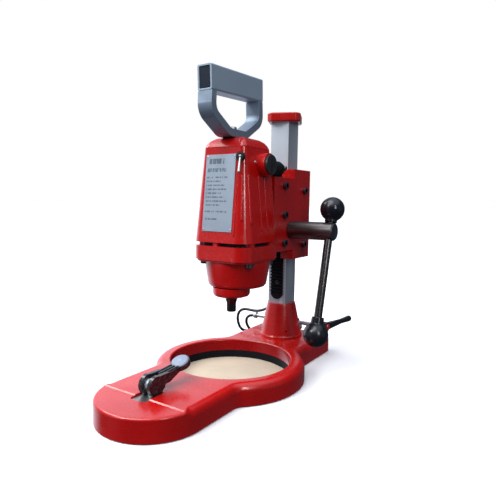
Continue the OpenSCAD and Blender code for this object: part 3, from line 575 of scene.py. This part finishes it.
def base_outline():
    """Half of the outline, front to rear, as (x, y, normal x, normal y), and its last point before the step."""
    cx = STRIP + JOIN_R
    cy = math.sqrt((RING_R + JOIN_R) ** 2 - cx * cx)
    turn = math.degrees(math.atan2(cy, cx))
    split = math.degrees(math.asin((STEP_Y - FRONT_Y - STRIP) / STRIP))
    half = []

    def sweep(x, y, radius, start, end, steps, sign=1):
        for i in range(steps + 1):
            t = math.radians(start + (end - start) * i / steps)
            c, s = math.cos(t), math.sin(t)
            half.append((x + radius * c, y + radius * s, sign * c, sign * s))

    front_steps = 30
    sweep(0, FRONT_Y + STRIP, STRIP, -90, split, front_steps)
    sweep(0, FRONT_Y + STRIP, STRIP, split, 0, 14)
    sweep(cx, -cy, JOIN_R, 180, 180 - turn, 10, -1)
    sweep(0, 0, RING_R, -turn, turn, 48)
    sweep(cx, cy, JOIN_R, turn - 180, -180, 10, -1)
    sweep(STRIP - CORNER_R, REAR_Y - CORNER_R, CORNER_R, 0, 90, 8)
    return half, front_steps


def make_base():
    """The casting: soft rounded rim, a sharp-edged front pad one step lower, the work opening and the slot."""
    half, last = base_outline()
    right = [(p, i <= last) for i, p in enumerate(half)]
    left = [((-p[0], p[1], -p[2], p[3]), low) for p, low in reversed(right)]
    loop = right + left[:-1]
    bm = bmesh.new()
    columns = []
    for (x, y, nx, ny), low in loop:
        top = BASE_H - (STEP_DROP if low else 0)
        # the rim is rounder along the ring than round the pad, and a little tighter at the rear corners
        soft = RIM_R
        slope = 0.0
        if not low:
            soft += RIM_EXTRA * smoothstep(STEP_Y, STEP_Y + 14, y)
            soft -= REAR_LESS * smoothstep(190, 212, y)
            slope = STEP_SLOPE * (1 - smoothstep(STEP_Y, STEP_Y + 8, y))
        column = [(FOOT_CHAMFER, 0.0), (0.0, FOOT_CHAMFER), (0.0, 14.0)]
        for k in range(FILLET_STEPS + 1):
            t = math.pi / 2 * k / FILLET_STEPS
            column.append((soft * (1 - math.cos(t)), top - soft + soft * math.sin(t)))
        columns.append([])
        for d, z in column:
            lean = slope * smoothstep(30, BASE_H, z)
            columns[-1].append(bm.verts.new(((x - nx * d) * MM, (y - ny * d + lean) * MM, z * MM)))
    count = len(columns)
    for i in range(count):
        a, b = columns[i], columns[(i + 1) % count]
        for k in range(len(a) - 1):
            if (a[k].co - b[k].co).length + (a[k + 1].co - b[k + 1].co).length > 1e-7:
                bm.faces.new((a[k], b[k], b[k + 1], a[k + 1]))
    wall = [(HOLE_R + HOLE_RIM_R * (1 - math.cos(t)), BASE_H - HOLE_RIM_R + HOLE_RIM_R * math.sin(t))
            for t in (math.pi / 2 * k / 5 for k in range(5, -1, -1))]
    wall += [(HOLE_R, SEAL_H), (SEAL_R, SEAL_H), (SEAL_R, 0.0)]
    hole = []
    for t in circle(HOLE_STEPS):
        hole.append([bm.verts.new((r * math.cos(t) * MM, r * math.sin(t) * MM, z * MM)) for r, z in wall])
    for i in range(HOLE_STEPS):
        a, b = hole[i], hole[(i + 1) % HOLE_STEPS]
        for k in range(len(a) - 1):
            bm.faces.new((a[k], b[k], b[k + 1], a[k + 1]))

    def fill(loops):
        flat = [v for one in loops for v in one]
        for tri in tessellate_polygon([[v.co for v in one] for one in loops]):
            corners = [flat[k] for k in tri]
            if len(set(corners)) == 3:
                bm.faces.new(corners)

    pad = [c[-1] for c, (_, low) in zip(columns, loop) if low]
    main = [c[-1] for c, (_, low) in zip(columns, loop) if not low]
    fill([main, [h[0] for h in hole]])
    fill([pad])
    fill([[c[0] for c in columns], [h[-1] for h in hole]])
    # the riser of the step
    a, b = main[0], main[-1]
    c, d = pad[last], pad[last + 1]
    bm.faces.new((a, b, d, c))
    bmesh.ops.remove_doubles(bm, verts=bm.verts, dist=1e-7)
    bmesh.ops.recalc_face_normals(bm, faces=bm.faces)
    mesh = bpy.data.meshes.new("base_casting_finished")
    bm.to_mesh(mesh)
    bm.free()
    piece = bpy.data.objects.new("base_work", mesh)
    scene.collection.objects.link(piece)
    cutters = []

    def cut(prisms):
        joined = bmesh.new()
        for ring, cx, cy, low, high in prisms:
            ends = [mm([(cx + x, cy + y, z) for x, y in ring]) for z in (low, high)]
            joined.from_mesh(shell(ends))
        data = bpy.data.meshes.new("cut")
        joined.to_mesh(data)
        joined.free()
        tool = bpy.data.objects.new("cut", data)
        scene.collection.objects.link(tool)
        mod = piece.modifiers.new("cut", "BOOLEAN")
        mod.object = tool
        mod.operation = "DIFFERENCE"
        mod.solver = "EXACT"
        cutters.append(tool)

    # the recess and the slot of the cam clamp, then the hollows underneath
    cut([(rounded_box_ring(14, 20, 6, 8), 0, -196, 29, 60)])
    cut([(rounded_box_ring(5.6, 14, 5.5, 8), 0, -196, 10, 60)])
    pockets = [(rounded_box_ring(19, 14, 6), x, y, -5, 21) for x in (-38, 38) for y in (-214, -150)]
    pockets += [(rounded_box_ring(13, 22, 6), x, 200, -5, 21) for x in (-60, 60)]
    pockets += [(rounded_box_ring(12, 18, 6), 0, -196, -5, 14)]
    for k in range(4):
        t = math.radians(45 + 90 * k)
        pockets.append((arc(0, 0, 7.5, 0, 350, 35), 34 * math.cos(t), 172.5 + 34 * math.sin(t), -5, 11))
    cut(pockets)
    done = final_mesh(piece)
    done.name = "base_casting_finished"
    for thing in cutters + [piece]:
        bpy.data.objects.remove(thing)
    weighted(add("base_casting_finished", done, red_iron, "stand", ("base_casting",), BASE_ANGLE))


make_base()


# ---------- castings and turned parts: rounded edges ----------

ROUNDED = [
    ("column_socket", red_iron, "red_cast_iron"),
    ("column_cap", red_iron, "red_cast_iron"),
    ("carriage_casting", red_iron, "red_cast_iron"),
    ("motor_bracket", red_iron, "red_cast_iron"),
    ("top_cover", red_alloy, "red_cast_aluminium"),
    ("motor_housing", red_alloy, "red_cast_aluminium"),
    ("lower_housing", red_alloy, "red_cast_aluminium"),
    ("gear_housing", red_alloy, "red_cast_aluminium"),
    ("nose_collar", red_alloy, "red_cast_aluminium"),
    ("handle_strap", strap_alloy, "bright_aluminium"),
    ("handle_grip", bright_alloy, "bright_aluminium"),
    ("column_tube", ground_steel, "ground_steel"),
    ("slot_plate", zinc, "ground_steel"),
    ("cam_lever", black_enamel, "black_lever"),
    ("lock_lever", black_enamel, "black_lever"),
    ("feed_hub", hub_metal, "gunmetal_steel"),
    ("upper_knob", phenolic, "black_phenolic"),
    ("lower_knob", phenolic, "black_phenolic"),
    ("brush_caps", plastic, "black_plastic"),
    ("grip_end_caps", end_plug_and_slot_shade, "black_plastic"),
]
for node, material, slot in ROUNDED:
    softened(node, material)

# CAD nodes that keep their shape, and only get a material
PLAIN = {
    "base_seal_ring": rubber, "spindle_seal": rubber, "socket_bolts": zinc, "gib_screws": gear_steel,
    "side_screws": gear_steel, "housing_screws": gear_steel, "rack_screws": gear_steel, "rack": rack_black,
    "pinion": gear_steel, "idler_gear": gear_steel, "spindle_gear": gear_steel, "idler_pin": ground_steel,
    "clamp_rod": ground_steel, "clamp_stud": ground_steel, "stud_nut": zinc, "cam_pivot_pin": black_enamel,
    "cam_lever_cap": cap_alloy, "motor_bearings": bright_steel, "spindle_bearings": bright_steel,
    "switch_toggle": zinc, "lock_lever_cap": red_plastic, "gib_strips": bronze, "pinion_bushes": bronze,
    "lever_rod": gunmetal, "spindle": gunmetal, "gear_plate": grey_alloy, "label_plate": label_face,
    "fan": plastic, "switch_body": plastic, "cord_gland": rubber, "carbon_brushes": carbon,
    "stator": laminated, "armature": laminated, "commutator": copper, "motor_lead": cord_sheath,
}
for name, material in PLAIN.items():
    mesh = nodes[name].data
    mesh.materials.clear()
    mesh.materials.append(material)


# ---------- small fittings ----------

MOTOR = "carriage"  # the body that carries the motor


def screw_head(name, place, radius, height):
    """A pan head with a hexagon socket, its axis along the place's Z."""
    rings = []
    for r, z in ((radius, 0), (radius, height * 0.72), (radius * 0.9, height * 0.93), (radius * 0.8, height)):
        rings.append([place @ Vector((r * math.cos(t), r * math.sin(t), z)) for t in circle(36)])

    def hexagon(r, z):
        out = []
        for t in circle(36):
            edge = r * math.cos(math.pi / 6) / math.cos((t % (math.pi / 3)) - math.pi / 6)
            out.append(place @ Vector((edge * math.cos(t), edge * math.sin(t), z)))
        return out

    for wide, deep in ((0.56, 1), (0.52, 0.95), (0.5, 0.4)):
        rings.append(hexagon(radius * wide, height * deep))
    return add(name, shell(rings), zinc, MOTOR, (), 40)


# the bolt that holds the handle, inside the bottom of the strap
screw_head("handle_bolt_head", at(0, -2, 413.1), 7.5 * MM, 5.5 * MM)
washer = lathe(mm([(9.5, 0), (9.5, 0.9), (9.0, 1.2), (0.5, 1.2)]), at(0, -2, 412.2), 48)
add("handle_bolt_washer", washer, zinc, MOTOR)


def bead(name, start, end, radius, flat, out):
    """A raised rib with round ends, lying on the housing from start to end, in millimetres."""
    a, b = Vector(start) * MM, Vector(end) * MM
    along = (b - a).normalized()
    normal = Vector(out)
    normal = (normal - normal.dot(along) * along).normalized()
    side = along.cross(normal)
    half = (b - a).length / 2
    rings = []
    steps = 28
    for i in range(steps + 1):
        u = -1 + 2 * i / steps
        t = math.copysign(1 - (1 - abs(u)) ** 1.6, u) * half
        past = max(0.0, abs(t) - (half - radius * MM)) / (radius * MM)
        size = max(0.04, math.sqrt(max(0.0, 1 - past * past)))
        centre = (a + b) / 2 + along * t
        wide, high = radius * MM * size, flat * MM * size
        rings.append([centre + side * (wide * math.cos(k)) + normal * (high * math.sin(k)) for k in circle(20)])
    return add(name, shell(rings), red_alloy, MOTOR, (), 60)


HALF_FLAT, CORNER, MOTOR_Y, MOTOR_Z, TAPER = 31, 25, 14, 232.5, 0.1


def housing_point(angle, z, lift=0.0):
    """A point on the housing's round front right corner, in millimetres: angle from +X towards -Y."""
    t = math.radians(-angle)
    radius = CORNER - TAPER * (z - MOTOR_Z) + lift
    return (HALF_FLAT + radius * math.cos(t), MOTOR_Y - HALF_FLAT + radius * math.sin(t), z)


def corner_bead(name, angle, top, bottom, radius, flat):
    """A rib down the round corner, between two heights."""
    t = math.radians(-angle)
    bead(name, housing_point(angle, top, 0.1), housing_point(angle, bottom, 0.1), radius, flat,
         (math.cos(t), math.sin(t), 0))


corner_bead("housing_rib_front", 58, 339, 268, 1.7, 1.3)
corner_bead("housing_rib_right", 12, 340, 262, 3.4, 1.5)
corner_bead("housing_rib_edge", 88, 352, 244, 1.5, 0.9)
for y in (8, 26):
    ends = [(HALF_FLAT + CORNER + 0.05 - TAPER * (z - MOTOR_Z), y, z) for z in (340, 250)]
    bead("housing_rib_side_%d" % y, ends[0], ends[1], 2.0, 1.0, (1, 0, 0.1))
screw_head("cover_screw", at(42.6, 1.5, 361) @ Matrix.Rotation(QUARTER, 4, "Y"), 2.6 * MM, 1.8 * MM)

# painted shade: a dark sheet just inside the air slots stands in for the shade inside the housing
slot_shade_rings = [mm([(x, y + MOTOR_Y, z) for x, y in rounded_box_ring(half, half, 17, 8)])
                for half, z in ((43.0, 224.0), (45.5, 226.2), (45.5, 232.9), (43.0, 234.0))]
add("air_slot_painted_shade", shell(slot_shade_rings), end_plug_and_slot_shade, MOTOR)

# rivets of the label
RIVET = mm([(1.3, 0), (1.2, 0.3), (0.8, 0.55), (0.05, 0.65)])
for x in (-28.6, 24.6):
    for z in (253.5, 369.5):
        y = MOTOR_Y - HALF_FLAT - CORNER + TAPER * (z - MOTOR_Z) - 0.8
        place = at(x, y + 0.05, z) @ Matrix.Rotation(QUARTER, 4, "X")
        name = "label_rivet_%d_%d" % (x, z)
        add(name, lathe(RIVET, place, 20), bright_steel, MOTOR, (), 60)


# ---------- floor and light ----------

ROOM = (0.050, 0.062, 0.082, 1)
GLOW = (1.02, 1.08, 1.24, 1)
# bright parts of the studio: direction, where each fades in and is full (as a cosine), strength
LOBES = [
    ((-0.90, 0.43, 0.0), 0.62, 0.97, 1.3),
    ((0.0, -0.15, 1.0), 0.45, 0.95, 1.3),
    ((-0.62, -0.78, 0.1), 0.80, 0.98, 0.28),
    ((1.0, 0.15, 0.1), 0.90, 0.99, 0.16),
]


def make_world():
    """Studio surroundings: a white sweep behind, a soft ceiling, a darker room in front and to the right."""
    world = bpy.data.worlds.new("studio")
    scene.world = world
    world.use_nodes = True
    tree = world.node_tree
    back = tree.nodes["Background"]
    where = tree.nodes.new("ShaderNodeTexCoord").outputs["Generated"]

    def lobe(direction, low, high, strength):
        dot = tree.nodes.new("ShaderNodeVectorMath")
        dot.operation = "DOT_PRODUCT"
        tree.links.new(where, dot.inputs[0])
        dot.inputs[1].default_value = Vector(direction).normalized()
        ramp = tree.nodes.new("ShaderNodeMapRange")
        ramp.interpolation_type = "SMOOTHSTEP"
        tree.links.new(dot.outputs["Value"], ramp.inputs["Value"])
        for key, number in (("From Min", low), ("From Max", high), ("To Min", 0), ("To Max", strength)):
            ramp.inputs[key].default_value = number
        return ramp.outputs["Result"]

    total = None
    for light in LOBES:
        value = lobe(*light)
        if total is None:
            total = value
            continue
        add_up = tree.nodes.new("ShaderNodeMath")
        add_up.operation = "ADD"
        tree.links.new(total, add_up.inputs[0])
        tree.links.new(value, add_up.inputs[1])
        total = add_up.outputs[0]
    tint = tree.nodes.new("ShaderNodeMix")
    tint.data_type = "RGBA"
    tree.links.new(total, tint.inputs[0])
    tint.inputs[6].default_value = ROOM
    tint.inputs[7].default_value = GLOW
    tint.clamp_factor = False
    # behind the object the camera sees plain white
    eye = tree.nodes.new("ShaderNodeLightPath").outputs["Is Camera Ray"]
    plain = tree.nodes.new("ShaderNodeMix")
    plain.data_type = "RGBA"
    tree.links.new(eye, plain.inputs[0])
    tree.links.new(tint.outputs[2], plain.inputs[6])
    plain.inputs[7].default_value = (1.0, 1.0, 1.0, 1)
    tree.links.new(plain.outputs[2], back.inputs[0])
    back.inputs[1].default_value = 1.0


# area lamps: name, place, what they point at, size, power
LAMPS = [
    ("key", (-0.7, -1.5, 1.5), (0, 0, 0.2), (0.6, 0.6), 12),
    ("edge", (1.5, -0.9, 1.0), (0, 0.0, 0.25), (0.12, 0.9), 9),
    ("ceiling", (-1.11, -0.18, 1.17), (0, -0.2, 0.03), (0.5, 0.5), 8),
]
SKY_POWER, SKY_WIDTH, SKY_TILT = 2.15, 50, (24, -14)


def make_stage():
    """A pale floor, a light board under the work opening, the surroundings and the lamps."""
    n = Nodes("floor")
    tone = n.mix(n.remap(n.noise(1.5, 3), 0.3, 0.7), (0.93, 0.93, 0.93), (0.95, 0.95, 0.95))
    floor_mat = n.surface(tone, n.remap(n.noise(4, 2), 0.3, 0.7, 0.85, 0.95), Specular_IOR_Level=0.1)
    bpy.ops.mesh.primitive_circle_add(vertices=96, radius=30, fill_type="NGON", location=(0, 0, -0.0002))
    floor = bpy.context.object
    floor.name = "floor"
    floor.data.materials.append(floor_mat)
    # neither the floor nor the board casts its own colour on the object
    floor.visible_glossy = False
    floor.visible_diffuse = False
    n = Nodes("tan_board")
    tone = n.mix(n.remap(n.noise(30, 5), 0.3, 0.7), (0.56, 0.475, 0.36), (0.50, 0.42, 0.31))
    board_mat = n.surface(tone, n.remap(n.noise(60, 3), 0.3, 0.7, 0.6, 0.8))
    board = bpy.data.objects.new("board", lathe([(0.100, 0.0), (0.100, 0.0008), (0.001, 0.0008)], Matrix(), 96))
    board.data.materials.append(board_mat)
    scene.collection.objects.link(board)
    board.visible_glossy = False
    board.visible_diffuse = False
    make_world()

    for name, place, target, size, power in LAMPS:
        data = bpy.data.lights.new(name, "AREA")
        data.shape = "RECTANGLE"
        data.size, data.size_y = size
        data.energy = power
        light = bpy.data.objects.new(name, data)
        light.location = place
        light.rotation_euler = (Vector(target) - Vector(place)).to_track_quat("-Z", "Y").to_euler()
        scene.collection.objects.link(light)
    data = bpy.data.lights.new("sky", "SUN")
    data.energy = SKY_POWER
    data.angle = math.radians(SKY_WIDTH)
    sun = bpy.data.objects.new("sky", data)
    sun.rotation_euler = (math.radians(SKY_TILT[0]), math.radians(SKY_TILT[1]), 0)
    scene.collection.objects.link(sun)
    scene.view_settings.view_transform = "Standard"


make_stage()
